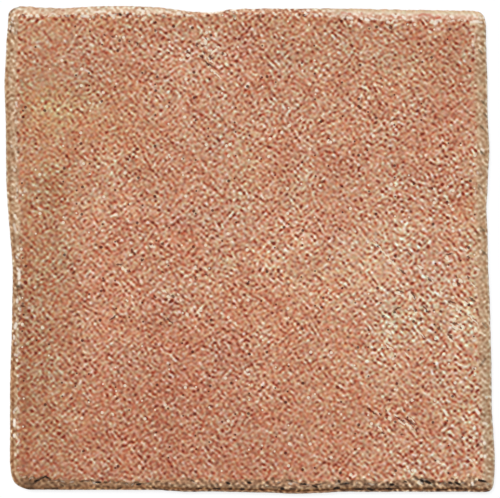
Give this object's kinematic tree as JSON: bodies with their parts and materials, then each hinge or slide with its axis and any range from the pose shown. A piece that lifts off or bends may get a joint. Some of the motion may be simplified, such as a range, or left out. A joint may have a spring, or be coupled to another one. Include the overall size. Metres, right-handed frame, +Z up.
{
  "type": "floor tile",
  "caption": "Square pressed ceramic floor tile, lying flat, with a grainy matt terracotta face, a soft uneven rolled border and a grooved bed.",
  "frame": {"origin": "middle of the outline's box, on the plane of the bed's lands, which is the floor that the tile lies on", "axes": "+Z up through the worn face; +X along the longer side, to the right as the tile is seen from above; +Y along the other side"},
  "size_m": [0.3332, 0.3314, 0.0095],
  "materials": {
    "fired_body": "matt, grainy fired surface, terracotta pink-brown with cream and olive mottling, smoother paler rolled border"
  },
  "bodies": {
    "root": {"floor_tile": "fired_body"}
  },
  "joints": []
}
